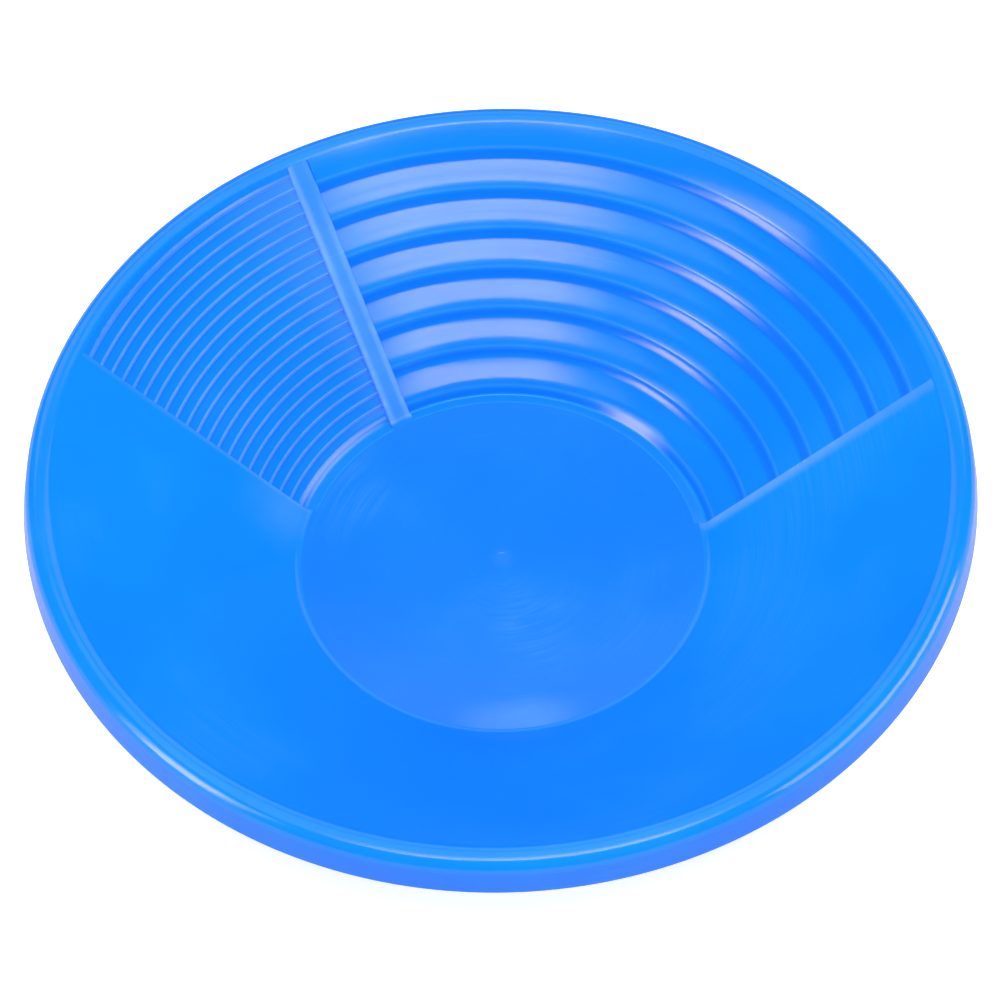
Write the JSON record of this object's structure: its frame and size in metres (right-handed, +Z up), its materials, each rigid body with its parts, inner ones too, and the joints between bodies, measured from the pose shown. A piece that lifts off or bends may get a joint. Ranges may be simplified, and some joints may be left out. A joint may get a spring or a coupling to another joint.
{
  "type": "gold pan",
  "caption": "Round one-piece plastic prospecting pan with a flat floor, sloping wall, coarse and fine riffles parted by a rib, and a rolled rim.",
  "frame": {"origin": "centre of the pan's flat underside", "axes": "+Z up out of the mouth; +Y towards the middle of the riffles' back edge; the fine riffles are on the -X side"},
  "size_m": [0.356, 0.356, 0.0713],
  "materials": {
    "floor": "glossy blue, lightly scuffed",
    "coarse_trap_groove": "glossy blue",
    "fine_trap_groove": "glossy blue",
    "plain_wall": "glossy blue, lightly scuffed",
    "coarse_riffle_wall": "glossy blue",
    "fine_riffle_wall": "glossy blue",
    "divider_rib": "glossy blue",
    "rolled_rim": "glossy blue",
    "rim_skirt": "glossy blue"
  },
  "bodies": {
    "root": {"floor": "floor", "coarse_trap_groove": "coarse_trap_groove", "fine_trap_groove": "fine_trap_groove", "plain_wall": "plain_wall", "coarse_riffle_wall": "coarse_riffle_wall", "fine_riffle_wall": "fine_riffle_wall", "divider_rib": "divider_rib", "rolled_rim": "rolled_rim", "rim_skirt": "rim_skirt"}
  },
  "joints": []
}
